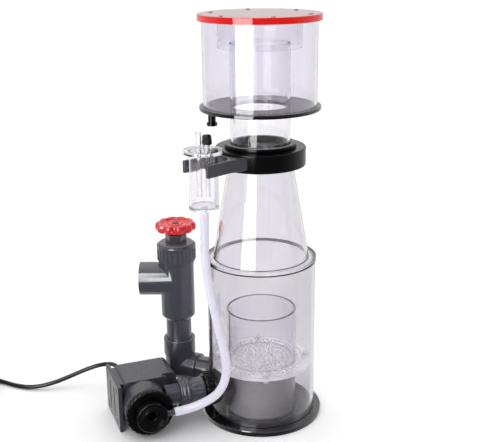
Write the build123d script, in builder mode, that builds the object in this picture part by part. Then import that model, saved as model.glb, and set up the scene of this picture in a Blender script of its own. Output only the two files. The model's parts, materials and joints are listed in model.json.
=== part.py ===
"""Protein skimmer for a marine aquarium sump, in millimetres.

Frame: the origin is the centre of the base plate's underside, +Z is up along the column.
The side outlet and the pump stand on the -X side, and -Y is the front.
"""
from math import cos, radians, sin, sqrt, tan

from build123d import *
import os

os.makedirs("parts", exist_ok=True)

# ---------------------------------------------------------------- driving dimensions
TUBE_R = 70.0            # outer radius of the body tube and of the cup tube
WALL = 4.0               # wall of the body tube
BASE_R, BASE_T = 79.0, 6.4
CHAMBER_R, CHAMBER_WALL = 45.5, 3.0
PLATE_Z, PLATE_T, PLATE_R = 72.0, 4.0, 65.0
MIXING_TOP = 146.5
BODY_TOP = 214.8         # top of the body tube
SEAM_T, SEAM_W = 1.2, 1.6  # black seam under the rim of the shoulder plate
SHOULDER_T, SHOULDER_R = 3.0, 70.8
CONE_BOTTOM_R, CONE_TOP_R, CONE_WALL = 61.5, 40.0, 3.0
COLLAR_BOTTOM, COLLAR_TOP, COLLAR_R = 340.0, 362.8, 56.6
SEAT_TOP, SEAT_R = 367.4, 44.7
RISER_R, RISER_WALL, RISER_BOTTOM, RISER_TOP = 37.0, 2.5, 349.0, 489.0
CUP_BASE_R, CUP_BASE_BOTTOM, CUP_BASE_TOP = 74.6, 409.4, 413.8
CUP_WALL, CUP_TUBE_TOP = 3.5, 519.3
LID_R, LID_BOTTOM, LID_TOP = 75.0, 515.9, 523.5
LID_SKIRT_GAP = 0.4
BAFFLE_R, BAFFLE_BOTTOM = 51.5, 484.0
SCREW_CIRCLE, SCREW_TURN = 62.3, 44.0

PUMP_ANGLE, PUMP_PORT_Z = 201.5, 43.0      # direction of the inlet line from the column's axis
OUTLET_ANGLE, OUTLET_PORT_Z = 158.5, 41.0  # direction of the outlet line
PIPE_R, PIPE_WALL = 17.0, 3.0              # one-inch PVC pipe
SWIVEL_GAP = 0.08                          # running clearance of the riser in the elbow
OUTLET_REACH = 122.0                       # column axis to riser pipe axis
TEE_R, TEE_BOTTOM, TEE_TOP, TEE_PORT_Z, TEE_REACH = 22.7, 119.0, 194.5, 170.0, 50.0
TEE_TAPER = 5.0
WHEEL_BOTTOM, WHEEL_TOP, WHEEL_R = 238.5, 250.5, 27.0
GATE_R, GATE_H = 18.6, 22.0

PUMP_REACH, PUMP_AXIS_Z = 160.0, 33.0      # column axis to motor axis, measured along the inlet line

SILENCER_X, SILENCER_Y = -67.0, -70.0
SILENCER_R, SILENCER_BOTTOM, SILENCER_TOP = 17.4, 303.0, 374.0
FORK_BOTTOM, FORK_TOP, FORK_REACH = 345.0, 360.0, 110.0

DRAIN_X, DRAIN_Y = -59.3, -2.0
HOSE_R, CORD_R = 5.5, 3.0


# ---------------------------------------------------------------- helpers
def heading(angle, distance, z=0.0):
    """A point at a plan angle and distance from the column's axis."""
    return Vector(distance * cos(radians(angle)), distance * sin(radians(angle)), z)


def facing(origin, direction):
    """A plane whose normal is a horizontal direction, with its own y upwards."""
    normal = Vector(*direction).normalized()
    return Plane(origin=origin, x_dir=Vector(0, 0, 1).cross(normal), z_dir=normal)


def turning(origin, along, radial):
    """A plane for turned profiles: its x is the radius and its y runs along the axis."""
    return Plane(origin=origin, x_dir=radial, z_dir=Vector(*radial).cross(Vector(*along)))


def level(z, x=0.0, y=0.0):
    return Plane((x, y, z))


def ring(plane, outer, inner, length, mode=Mode.ADD):
    """A straight length of tube, or a rod where the inner radius is zero."""
    with BuildSketch(plane) as section:
        Circle(outer)
        if inner:
            Circle(inner, mode=Mode.SUBTRACT)
    extrude(section.sketch, amount=length, mode=mode)


def turned(plane, points, mode=Mode.ADD):
    """A solid of revolution of a closed outline given as (radius, height) points."""
    with BuildSketch(plane) as section:
        with BuildLine():
            Polyline(*points, close=True)
        make_face()
    revolve(section.sketch, axis=Axis(plane.origin, plane.y_dir), mode=mode)


def block(plane, x0, x1, y0, y1, length, corner=0.0, mode=Mode.ADD):
    """A box on a plane between two corners, with rounded upright edges where asked."""
    with BuildSketch(plane) as section:
        with Locations(((x0 + x1) / 2, (y0 + y1) / 2)):
            if corner:
                RectangleRounded(x1 - x0, y1 - y0, corner)
            else:
                Rectangle(x1 - x0, y1 - y0)
    extrude(section.sketch, amount=length, mode=mode)


def ribbed(plane, radius, ribs, rib_r, inner, length):
    """A ring with round ribs on its outside, as on a hand-tightened nut."""
    with BuildSketch(plane) as section:
        Circle(radius)
        with PolarLocations(radius, ribs):
            Circle(rib_r)
        Circle(inner, mode=Mode.SUBTRACT)
    extrude(section.sketch, amount=length)


def keep(made, node):
    """Label a finished piece and write it as its own node."""
    made.part.label = node
    export_step(made.part, f"parts/{node}.step")


COLUMN = turning((0, 0, 0), (0, 0, 1), (1, 0, 0))

# ---------------------------------------------------------------- body of the skimmer
with BuildPart() as base_plate:
    ring(level(0), BASE_R, 0, BASE_T)
    chamfer(base_plate.edges().group_by(Axis.Z)[-1], 0.8)
keep(base_plate, "base_plate")

inlet_dir, outlet_dir = heading(PUMP_ANGLE, 1), heading(OUTLET_ANGLE, 1)
inlet_line = facing(heading(PUMP_ANGLE, 0, PUMP_PORT_Z), inlet_dir)
outlet_line = facing(heading(OUTLET_ANGLE, 0, OUTLET_PORT_Z), outlet_dir)
PORT_HOLE_R = 18.5       # hole for the outlet pipe and its gasket lip
BULKHEAD_R = 15.0        # threaded barrel of the inlet bulkhead
BULKHEAD_HOLE_R = 15.4

with BuildPart() as body_tube:
    ring(level(BASE_T), TUBE_R, TUBE_R - WALL, BODY_TOP - BASE_T)
    ring(outlet_line.offset(50), PORT_HOLE_R, 0, 40, mode=Mode.SUBTRACT)
    ring(inlet_line.offset(50), BULKHEAD_HOLE_R, 0, 40, mode=Mode.SUBTRACT)
keep(body_tube, "body_tube")

with BuildPart() as body_seam:
    ring(level(BODY_TOP), SHOULDER_R, SHOULDER_R - SEAM_W, SEAM_T)
keep(body_seam, "body_seam")

SHOULDER_Z = BODY_TOP + SEAM_T
CONE_Z = SHOULDER_Z + SHOULDER_T
with BuildPart() as shoulder_plate:
    ring(level(SHOULDER_Z), SHOULDER_R, CONE_BOTTOM_R - CONE_WALL, SHOULDER_T)
keep(shoulder_plate, "shoulder_plate")

with BuildPart() as body_cone:
    turned(COLUMN, [(CONE_BOTTOM_R - CONE_WALL, CONE_Z), (CONE_BOTTOM_R, CONE_Z),
                    (CONE_TOP_R, COLLAR_BOTTOM + 5), (CONE_TOP_R - CONE_WALL, COLLAR_BOTTOM + 5)])
keep(body_cone, "body_cone")

with BuildPart() as inlet_chamber:
    ring(level(BASE_T), CHAMBER_R, CHAMBER_R - CHAMBER_WALL, PLATE_Z - BASE_T)
    ring(inlet_line.offset(35), BULKHEAD_R, 0, 15, mode=Mode.SUBTRACT)
keep(inlet_chamber, "inlet_chamber")

# bubble plate: rings of holes, each ring about six millimetres from the next
HOLE_R, HOLE_PITCH = 1.6, 6.4
PLATE_SCREWS, PLATE_SCREW_CIRCLE, PLATE_SCREW_TURN = 4, 60.0, 5.0
with BuildPart() as bubble_plate:
    with BuildSketch(level(PLATE_Z)):
        Circle(PLATE_R)
        for step in range(1, 9):
            circle_r = 3.0 + step * HOLE_PITCH
            if abs(circle_r - CHAMBER_R + CHAMBER_WALL / 2) > CHAMBER_WALL:
                with PolarLocations(circle_r, int(circle_r)):
                    Circle(HOLE_R, mode=Mode.SUBTRACT)
        with PolarLocations(PLATE_SCREW_CIRCLE, PLATE_SCREWS, start_angle=PLATE_SCREW_TURN):
            Circle(2.0, mode=Mode.SUBTRACT)
    extrude(amount=PLATE_T)
keep(bubble_plate, "bubble_plate")

with BuildPart() as plate_screws:
    for turn in range(PLATE_SCREWS):
        spot = heading(PLATE_SCREW_TURN + turn * 360 / PLATE_SCREWS, PLATE_SCREW_CIRCLE)
        ring(level(PLATE_Z - 4, spot.X, spot.Y), 3.4, 0, 4)
        ring(level(PLATE_Z, spot.X, spot.Y), 2.0, 0, PLATE_T)
        ring(level(PLATE_Z + PLATE_T, spot.X, spot.Y), 3.6, 0, 3.0)
keep(plate_screws, "plate_screws")

with BuildPart() as mixing_tube:
    ring(level(PLATE_Z + PLATE_T), CHAMBER_R, CHAMBER_R - CHAMBER_WALL, MIXING_TOP - PLATE_Z - PLATE_T)
keep(mixing_tube, "mixing_tube")

# ---------------------------------------------------------------- pump inlet through the wall
FLANGE_R, FLANGE_T = 27.5, 10.0
FLANGE_FACE = sqrt((TUBE_R - WALL) ** 2 - FLANGE_R ** 2) - 0.1  # flat flange inside the round wall
BULKHEAD_BORE = 11.5
INLET_PIPE_START = 36.0                    # inside the inlet chamber
NUT_FACE, NUT_T = TUBE_R + 0.4, 12.0
COUPLER_START, COUPLER_END, COUPLER_R = 83.0, 104.0, 17.2
UNION_END = 117.0

with BuildPart() as inlet_bulkhead:
    ring(inlet_line.offset(FLANGE_FACE - FLANGE_T), FLANGE_R, BULKHEAD_BORE, FLANGE_T)
    ring(inlet_line.offset(FLANGE_FACE), BULKHEAD_R, BULKHEAD_BORE, COUPLER_START - FLANGE_FACE)
keep(inlet_bulkhead, "inlet_bulkhead")

with BuildPart() as bulkhead_gasket:
    ring(inlet_line.offset(FLANGE_FACE), FLANGE_R - 2.5, BULKHEAD_R, 10)
    ring(level(0), TUBE_R - WALL, 0, 100, mode=Mode.INTERSECT)
keep(bulkhead_gasket, "bulkhead_gasket")

with BuildPart() as bulkhead_nut:
    ribbed(inlet_line.offset(NUT_FACE), 21.5, 20, 1.4, BULKHEAD_R, NUT_T)
keep(bulkhead_nut, "bulkhead_nut")

with BuildPart() as inlet_pipe:
    ring(inlet_line.offset(INLET_PIPE_START), BULKHEAD_R, BULKHEAD_BORE, FLANGE_FACE - FLANGE_T - INLET_PIPE_START)
keep(inlet_pipe, "inlet_pipe")

with BuildPart() as pump_coupler:
    ring(inlet_line.offset(COUPLER_START), COUPLER_R, 13.0, COUPLER_END - COUPLER_START)
keep(pump_coupler, "pump_coupler")

with BuildPart() as pump_union:
    ribbed(inlet_line.offset(COUPLER_END), 19.6, 24, 0.7, 12.8, UNION_END - COUPLER_END)
    chamfer(pump_union.edges().filter_by(GeomType.CIRCLE).sort_by(SortBy.RADIUS)[:2], 0.5)
keep(pump_union, "pump_union")

# ---------------------------------------------------------------- water outlet
riser_x, riser_y = heading(OUTLET_ANGLE, OUTLET_REACH).X, heading(OUTLET_ANGLE, OUTLET_REACH).Y
RISER_AXIS = turning((riser_x, riser_y, 0), (0, 0, 1), (1, 0, 0))
ELBOW_R, SOCKET_R, SOCKET_BOTTOM, SOCKET_TOP = 20.0, 21.6, 62.0, 84.5
STUB_START, STUB_END = 61.0, 103.0

with BuildPart() as outlet_stub:
    ring(outlet_line.offset(STUB_START), PIPE_R, PIPE_R - PIPE_WALL, STUB_END - STUB_START)
keep(outlet_stub, "outlet_stub")

with BuildPart() as outlet_gasket:
    ring(outlet_line.offset(TUBE_R - 8), PORT_HOLE_R, PIPE_R, 9)
    ring(outlet_line.offset(TUBE_R - 5), 20.8, PIPE_R, 9.5)
    ring(level(0), TUBE_R, TUBE_R - WALL, 120, mode=Mode.SUBTRACT)
    ring(outlet_line.offset(TUBE_R - 8), PORT_HOLE_R, PIPE_R, 9)
    ring(level(0), TUBE_R - WALL, 0, 120, mode=Mode.SUBTRACT)
keep(outlet_gasket, "outlet_gasket")

with BuildPart() as outlet_elbow:
    ring(outlet_line.offset(OUTLET_REACH - 29), ELBOW_R, 0, 29)
    with Locations((riser_x, riser_y, OUTLET_PORT_Z)):
        Sphere(ELBOW_R)
    ring(level(OUTLET_PORT_Z, riser_x, riser_y), ELBOW_R, 0, SOCKET_BOTTOM - OUTLET_PORT_Z)
    turned(RISER_AXIS, [(0, SOCKET_BOTTOM - 6), (ELBOW_R, SOCKET_BOTTOM - 6), (SOCKET_R, SOCKET_BOTTOM),
                        (SOCKET_R, SOCKET_TOP - 1), (SOCKET_R - 1, SOCKET_TOP), (0, SOCKET_TOP)])
    ring(outlet_line.offset(OUTLET_REACH - 30), PIPE_R, 0, STUB_END - OUTLET_REACH + 30, mode=Mode.SUBTRACT)
    ring(outlet_line.offset(OUTLET_REACH - 30), PIPE_R - PIPE_WALL, 0, 30, mode=Mode.SUBTRACT)
    with Locations((riser_x, riser_y, OUTLET_PORT_Z)):
        Sphere(PIPE_R - PIPE_WALL, mode=Mode.SUBTRACT)
    ring(level(OUTLET_PORT_Z, riser_x, riser_y), PIPE_R - PIPE_WALL, 0, 30, mode=Mode.SUBTRACT)
    ring(level(SOCKET_BOTTOM, riser_x, riser_y), PIPE_R + SWIVEL_GAP, 0, 30, mode=Mode.SUBTRACT)
keep(outlet_elbow, "outlet_elbow")

PIPE_BOTTOM, TEE_STOP = SOCKET_BOTTOM + 0.3, 141.0
with BuildPart() as riser_pipe:
    ring(level(PIPE_BOTTOM, riser_x, riser_y), PIPE_R, PIPE_R - PIPE_WALL, TEE_STOP - PIPE_BOTTOM)
keep(riser_pipe, "riser_pipe")

# ---------------------------------------------------------------- gate valve in the outlet tee
TEE_BORE_R, PORT_BORE_R, PORT_DEPTH = 19.0, 17.1, 24.0
BONNET_TOP, BONNET_R = 222.5, 23.1
NECK_R, NECK_TOP = 21.4, TEE_TOP + 16.0    # threaded neck of the tee under the union nut
NUT_TOP, UNION_NUT_R = 220.5, 25.4
STEM_R, STEM_GAP = 4.0, 0.08
tee_line = facing((riser_x, riser_y, TEE_PORT_Z), (-1, 0, 0))

with BuildPart() as valve_tee:
    turned(RISER_AXIS, [(0, TEE_BOTTOM - TEE_TAPER), (PIPE_R + 1.4, TEE_BOTTOM - TEE_TAPER), (TEE_R, TEE_BOTTOM),
                        (TEE_R, TEE_TOP), (NECK_R, TEE_TOP), (NECK_R, NECK_TOP), (0, NECK_TOP)])
    ring(tee_line, TEE_R - 0.3, 0, TEE_REACH)
    ring(level(TEE_BOTTOM - TEE_TAPER - 1, riser_x, riser_y), PIPE_R, 0, TEE_STOP - TEE_BOTTOM + TEE_TAPER + 1,
         mode=Mode.SUBTRACT)
    ring(level(TEE_STOP - 1, riser_x, riser_y), PIPE_R - PIPE_WALL, 0, 10, mode=Mode.SUBTRACT)
    ring(level(TEE_STOP + 4, riser_x, riser_y), TEE_BORE_R, 0, 80, mode=Mode.SUBTRACT)
    ring(tee_line, PORT_BORE_R - 3, 0, TEE_REACH + 1, mode=Mode.SUBTRACT)
    ring(tee_line.offset(TEE_REACH - PORT_DEPTH), PORT_BORE_R, 0, PORT_DEPTH + 1, mode=Mode.SUBTRACT)
keep(valve_tee, "valve_tee")

with BuildPart() as valve_bonnet:
    turned(RISER_AXIS, [(STEM_R + STEM_GAP, NECK_TOP - 10), (TEE_BORE_R, NECK_TOP - 10), (TEE_BORE_R, NECK_TOP),
                        (BONNET_R, NECK_TOP), (BONNET_R, BONNET_TOP - 1), (BONNET_R - 1.1, BONNET_TOP),
                        (STEM_R + STEM_GAP, BONNET_TOP)])
keep(valve_bonnet, "valve_bonnet")

with BuildPart() as valve_union_nut:
    ribbed(level(TEE_TOP, riser_x, riser_y), UNION_NUT_R, 28, 0.8, NECK_R, NECK_TOP - TEE_TOP)
    ribbed(level(NECK_TOP, riser_x, riser_y), UNION_NUT_R, 28, 0.8, BONNET_R, NUT_TOP - NECK_TOP)
keep(valve_union_nut, "valve_union_nut")

with BuildPart() as packing_nut:
    with BuildSketch(level(BONNET_TOP, riser_x, riser_y)):
        RegularPolygon(14.2, 6)
        Circle(STEM_R + STEM_GAP, mode=Mode.SUBTRACT)
    extrude(amount=12)
    with BuildSketch(level(BONNET_TOP + 12, riser_x, riser_y)):
        Circle(9)
        Circle(STEM_R + STEM_GAP, mode=Mode.SUBTRACT)
    extrude(amount=2)
keep(packing_nut, "packing_nut")

GATE_BOTTOM = TEE_PORT_Z + 4
with BuildPart() as valve_gate:
    turned(RISER_AXIS, [(STEM_R + 0.3, GATE_BOTTOM + 3), (GATE_R, GATE_BOTTOM), (GATE_R, GATE_BOTTOM + GATE_H),
                        (STEM_R + 0.3, GATE_BOTTOM + GATE_H)])
keep(valve_gate, "valve_gate")

with BuildPart() as valve_stem:
    ring(level(TEE_STOP + 12, riser_x, riser_y), STEM_R, 0, WHEEL_TOP - 2 - TEE_STOP - 12)
keep(valve_stem, "valve_stem")

LOBES = 10
with BuildPart() as handwheel:
    with BuildSketch(level(WHEEL_BOTTOM, riser_x, riser_y)):
        Circle(WHEEL_R)
        with PolarLocations(WHEEL_R + 2.6, LOBES, start_angle=18):
            Circle(5.2, mode=Mode.SUBTRACT)
        Circle(STEM_R, mode=Mode.SUBTRACT)
    extrude(amount=WHEEL_TOP - WHEEL_BOTTOM)
    turned(RISER_AXIS, [(7.0, WHEEL_TOP - 2), (9.0, WHEEL_TOP - 6), (18.0, WHEEL_TOP - 5), (22.0, WHEEL_TOP + 1),
                        (7.0, WHEEL_TOP + 1)], mode=Mode.SUBTRACT)
    turned(RISER_AXIS, [(10.0, WHEEL_BOTTOM - 1), (20.0, WHEEL_BOTTOM - 1), (18.0, WHEEL_BOTTOM + 3),
                        (11.0, WHEEL_BOTTOM + 3)], mode=Mode.SUBTRACT)
keep(handwheel, "handwheel")

# ---------------------------------------------------------------- collar and cup seat
with BuildPart() as neck_collar:
    turned(COLUMN, [(CONE_TOP_R + 1, COLLAR_BOTTOM), (COLLAR_R - 0.8, COLLAR_BOTTOM), (COLLAR_R, COLLAR_BOTTOM + 0.8),
                    (COLLAR_R, COLLAR_TOP - 1.2), (COLLAR_R - 1.2, COLLAR_TOP), (42.0, COLLAR_TOP),
                    (42.0, COLLAR_TOP - 8), (RISER_R + 0.4, COLLAR_TOP - 8), (RISER_R + 0.4, COLLAR_BOTTOM + 5),
                    (CONE_TOP_R + 1, COLLAR_BOTTOM + 5)])
keep(neck_collar, "neck_collar")

with BuildPart() as cup_lock_ring:
    turned(COLUMN, [(RISER_R + 0.4, COLLAR_TOP - 4), (41.9, COLLAR_TOP - 4), (41.9, COLLAR_TOP + 0.3),
                    (SEAT_R, COLLAR_TOP + 0.3), (SEAT_R, SEAT_TOP - 0.8), (SEAT_R - 0.8, SEAT_TOP),
                    (RISER_R + 0.4, SEAT_TOP)])
keep(cup_lock_ring, "cup_lock_ring")

with BuildPart() as cup_o_ring:
    with BuildSketch(COLUMN):
        with Locations((RISER_R + 2.4, COLLAR_TOP - 6)):
            Circle(1.9)
    revolve(axis=Axis.Z)
keep(cup_o_ring, "cup_o_ring")

# ---------------------------------------------------------------- collection cup
with BuildPart() as riser_tube:
    ring(level(RISER_BOTTOM), RISER_R, RISER_R - RISER_WALL, RISER_TOP - RISER_BOTTOM)
keep(riser_tube, "riser_tube")

with BuildPart() as cup_base_plate:
    ring(level(CUP_BASE_BOTTOM), CUP_BASE_R, RISER_R, CUP_BASE_TOP - CUP_BASE_BOTTOM)
    ring(level(CUP_BASE_BOTTOM, DRAIN_X, DRAIN_Y), 3.2, 0, 10, mode=Mode.SUBTRACT)
    chamfer(cup_base_plate.edges().filter_by(GeomType.CIRCLE).sort_by(SortBy.RADIUS)[-2:], 0.5)
keep(cup_base_plate, "cup_base_plate")

with BuildPart() as cup_tube:
    ring(level(CUP_BASE_TOP), TUBE_R, TUBE_R - CUP_WALL, CUP_TUBE_TOP - CUP_BASE_TOP)
keep(cup_tube, "cup_tube")

DRAIN_AXIS = turning((DRAIN_X, DRAIN_Y, 0), (0, 0, 1), (1, 0, 0))
NOZZLE_BOTTOM = 393.0
with BuildPart() as drain_nozzle:
    ring(level(NOZZLE_BOTTOM, DRAIN_X, DRAIN_Y), 4.7, 3.2, CUP_BASE_BOTTOM - NOZZLE_BOTTOM)
    ring(level(CUP_BASE_BOTTOM - 3, DRAIN_X, DRAIN_Y), 6.2, 3.2, 3)
keep(drain_nozzle, "drain_nozzle")

with BuildPart() as drain_plug:
    turned(DRAIN_AXIS, [(0, NOZZLE_BOTTOM - 4.3), (6.0, NOZZLE_BOTTOM - 4.3), (6.6, NOZZLE_BOTTOM - 3.6),
                        (6.6, NOZZLE_BOTTOM - 0.3), (3.1, NOZZLE_BOTTOM - 0.3), (2.9, NOZZLE_BOTTOM + 8),
                        (0, NOZZLE_BOTTOM + 8)])
keep(drain_plug, "drain_plug")

# ---------------------------------------------------------------- lid
INNER_PLATE_Z, SCREW_R = LID_BOTTOM + 0.3, 1.5
with BuildPart() as lid_plate:
    ring(level(CUP_TUBE_TOP + 0.3), LID_R, 0, LID_TOP - CUP_TUBE_TOP - 0.3)
    ring(level(LID_BOTTOM), LID_R, TUBE_R + LID_SKIRT_GAP, CUP_TUBE_TOP + 0.3 - LID_BOTTOM)
    chamfer(lid_plate.edges().group_by(Axis.Z)[-1], 0.5)
    with BuildSketch(level(LID_TOP)) as lid_holes:
        with PolarLocations(SCREW_CIRCLE, 6, start_angle=SCREW_TURN):
            Circle(SCREW_R)
    extrude(lid_holes.sketch, amount=-5, mode=Mode.SUBTRACT)
keep(lid_plate, "lid_plate")

with BuildPart() as lid_baffle:
    ring(level(INNER_PLATE_Z), TUBE_R - CUP_WALL - 0.5, 0, CUP_TUBE_TOP + 0.3 - INNER_PLATE_Z)
    with BuildSketch(level(INNER_PLATE_Z)) as inner_holes:
        with PolarLocations(SCREW_CIRCLE, 6, start_angle=SCREW_TURN):
            Circle(SCREW_R)
    extrude(inner_holes.sketch, amount=5, mode=Mode.SUBTRACT)
    ring(level(BAFFLE_BOTTOM), BAFFLE_R, BAFFLE_R - 3, INNER_PLATE_Z - BAFFLE_BOTTOM)
keep(lid_baffle, "lid_baffle")

with BuildPart() as lid_screws:
    for turn in range(6):
        spot = heading(SCREW_TURN + 60 * turn, SCREW_CIRCLE)
        screw_axis = turning((spot.X, spot.Y, 0), (0, 0, 1), (1, 0, 0))
        turned(screw_axis, [(0, INNER_PLATE_Z), (SCREW_R, INNER_PLATE_Z), (SCREW_R, LID_TOP), (2.7, LID_TOP),
                            (2.7, LID_TOP + 0.8), (1.9, LID_TOP + 1.5), (0, LID_TOP + 1.5)])
keep(lid_screws, "lid_screws")

# ---------------------------------------------------------------- air silencer and its fork
fork_dir = Vector(SILENCER_X, SILENCER_Y, 0).normalized()
fork_side = Vector(0, 0, 1).cross(fork_dir)
silencer_reach = sqrt(SILENCER_X ** 2 + SILENCER_Y ** 2)
SLOT_R, FORK_HALF, FORK_ROOT_HALF = SILENCER_R + 0.1, 22.6, 27.0
SLOT_CENTRE = 81.0
fork_plane = Plane(origin=(0, 0, FORK_BOTTOM), x_dir=fork_dir, z_dir=(0, 0, 1))
with BuildPart() as silencer_bracket:
    with BuildSketch(fork_plane):
        with BuildLine():
            Polyline((44, -FORK_ROOT_HALF), (60, -FORK_ROOT_HALF), (76, -FORK_HALF), (FORK_REACH, -FORK_HALF),
                     (FORK_REACH, FORK_HALF), (76, FORK_HALF), (60, FORK_ROOT_HALF), (44, FORK_ROOT_HALF), close=True)
        make_face()
        with Locations((SLOT_CENTRE, 0)):
            Circle(SLOT_R, mode=Mode.SUBTRACT)
        with Locations(((SLOT_CENTRE + FORK_REACH + 5) / 2, 0)):
            Rectangle(FORK_REACH + 5 - SLOT_CENTRE, 2 * SLOT_R, mode=Mode.SUBTRACT)
    extrude(amount=FORK_TOP - FORK_BOTTOM)
    fillet(silencer_bracket.edges().filter_by(Axis.Z).group_by(Axis(fork_plane.origin, fork_dir))[-1], 2.2)
    ring(level(FORK_BOTTOM - 1), COLLAR_R, 0, 20, mode=Mode.SUBTRACT)
keep(silencer_bracket, "silencer_bracket")

sil = (SILENCER_X, SILENCER_Y)
DISC_T = 4.0
with BuildPart() as silencer_tube:
    ring(level(SILENCER_BOTTOM + 3.5, *sil), SILENCER_R, SILENCER_R - 2, SILENCER_TOP - DISC_T - SILENCER_BOTTOM - 3.5)
keep(silencer_tube, "silencer_tube")

PORT_SHIFT, SIL_PIPE_R = 5.0, 3.6
with BuildPart() as silencer_top:
    ring(level(SILENCER_TOP - DISC_T, *sil), 22.9, 0, DISC_T)
    for shift, hole in ((PORT_SHIFT, 3.2), (-PORT_SHIFT, SIL_PIPE_R)):
        ring(level(SILENCER_TOP - DISC_T - 1, sil[0] + shift, sil[1]), hole, 0, 8, mode=Mode.SUBTRACT)
keep(silencer_top, "silencer_top")

with BuildPart() as silencer_bottom:
    ring(level(SILENCER_BOTTOM, *sil), SILENCER_R + 0.8, 0, 3.5)
    ring(level(SILENCER_BOTTOM - 3, *sil), 4.6, 0, 3)
    ring(level(SILENCER_BOTTOM - 4, *sil), 2.5, 0, 12, mode=Mode.SUBTRACT)
keep(silencer_bottom, "silencer_bottom")

PIPES_BOTTOM, INLET_TOP, SEAT_PIPE_TOP = 318.0, SILENCER_TOP + 20, SILENCER_TOP + 12.2
with BuildPart() as silencer_pipes:
    ring(level(PIPES_BOTTOM, sil[0] - PORT_SHIFT, sil[1]), SIL_PIPE_R, 2.5, INLET_TOP - PIPES_BOTTOM)
    ring(level(PIPES_BOTTOM, sil[0] + PORT_SHIFT, sil[1]), 3.2, 2.2, SEAT_PIPE_TOP - PIPES_BOTTOM)
    ring(level(SILENCER_TOP, sil[0] + PORT_SHIFT, sil[1]), 4.4, 3.2, 6.2)
keep(silencer_pipes, "silencer_pipes")

CAP_AXIS = turning((sil[0] + PORT_SHIFT, sil[1], 0), (0, 0, 1), (1, 0, 0))
with BuildPart() as air_cap:
    turned(CAP_AXIS, [(3.3, SILENCER_TOP + 6.4), (6.0, SILENCER_TOP + 6.4), (5.2, SILENCER_TOP + 17),
                      (4.6, SILENCER_TOP + 17.6), (0, SILENCER_TOP + 17.6), (0, SILENCER_TOP + 12.5),
                      (3.3, SILENCER_TOP + 12.5)])
keep(air_cap, "air_cap")

# ---------------------------------------------------------------- pump
front = Vector(sin(radians(PUMP_ANGLE - 180)), -cos(radians(PUMP_ANGLE - 180)), 0)
inward = Vector(cos(radians(PUMP_ANGLE - 180)), sin(radians(PUMP_ANGLE - 180)), 0)
pump_origin = inward * -PUMP_REACH + Vector(0, 0, PUMP_AXIS_Z)
pump_face = Plane(origin=pump_origin, x_dir=inward, z_dir=front)     # y is up, the normal looks forward
PUMP_TURN = turning(pump_origin, front, inward)

REAR, HOUSING_FRONT, VOLUTE_FRONT, RING_FRONT, INTAKE_FRONT = -76.0, -17.0, 12.0, 21.0, 33.5
SIDE, FOOT_T = 30.0, 5.0
BARREL_R, RING_R, RIB_R = 29.4, 29.8, 1.5
ROTOR_R, CAN_R = 12.0, 14.0
HOUSING_HALF, HOUSING_RIGHT = 29.0, 35.0
MOTOR_RIGHT, MOTOR_FRONT = 48.0, -25.0     # the motor box is wider behind the inlet union

with BuildPart() as pump_foot:
    block(pump_face.offset(REAR - 1), -SIDE - FOOT_T, -SIDE, -PUMP_AXIS_Z, 31, 73, corner=1.5)
    slot_face = Plane(origin=pump_origin - inward * (SIDE + FOOT_T + 1), x_dir=front, z_dir=inward)
    for along, up in ((-66, 21), (-16, 21), (-66, -23), (-16, -23)):
        with BuildSketch(slot_face) as small_slot:
            with Locations((along, -up)):
                SlotOverall(10, 3.4, rotation=90)
        extrude(small_slot.sketch, amount=20, mode=Mode.SUBTRACT)
    for along in (-52, -30):
        with BuildSketch(slot_face) as long_slot:
            with Locations((along, 1)):
                SlotOverall(42, 4.2, rotation=90)
        extrude(long_slot.sketch, amount=20, mode=Mode.SUBTRACT)
keep(pump_foot, "pump_foot")

with BuildPart() as pump_housing:
    block(pump_face.offset(REAR), -SIDE + 4, HOUSING_RIGHT, -HOUSING_HALF, HOUSING_HALF, HOUSING_FRONT - REAR, corner=9)
    block(pump_face.offset(REAR), 0, MOTOR_RIGHT, -HOUSING_HALF, HOUSING_HALF, MOTOR_FRONT - REAR, corner=9)
    fillet(pump_housing.edges().group_by(Axis(pump_origin, front))[0], 4)
    for up in (-26, -8, 10, 25):
        block(pump_face.offset(REAR + 5), -SIDE, -SIDE + 6, up - 1.5, up + 1.5, HOUSING_FRONT - REAR - 9)
    ring(pump_face.offset(HOUSING_FRONT - 8), BARREL_R - 0.9, 0, 12)
    ring(pump_face.offset(HOUSING_FRONT + 4), 23.2, 0, 3.6)
    ring(pump_face.offset(HOUSING_FRONT + 4.8), 24, 21.4, 2, mode=Mode.SUBTRACT)
    ring(pump_face.offset(HOUSING_FRONT - 50), CAN_R, 0, 70, mode=Mode.SUBTRACT)
    block(pump_face.offset(REAR + 6), -19, 19, -24, 24, 46, corner=3, mode=Mode.SUBTRACT)
    ring(pump_face.offset(REAR + 6), CAN_R + 1.6, CAN_R, 46)
    ring(pump_face.offset(REAR + 6), CAN_R + 1.6, 0, 2)
keep(pump_housing, "pump_housing")

with BuildPart() as motor_stator:
    block(pump_face.offset(REAR + 18), -17, 17, -22, 22, 26, corner=1)
    ring(pump_face.offset(REAR + 17), CAN_R + 1.8, 0, 28, mode=Mode.SUBTRACT)
    for coil_start in (REAR + 9, REAR + 44):
        ring(pump_face.offset(coil_start), 18.4, CAN_R + 1.8, 5.5)
keep(motor_stator, "motor_stator")

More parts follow.
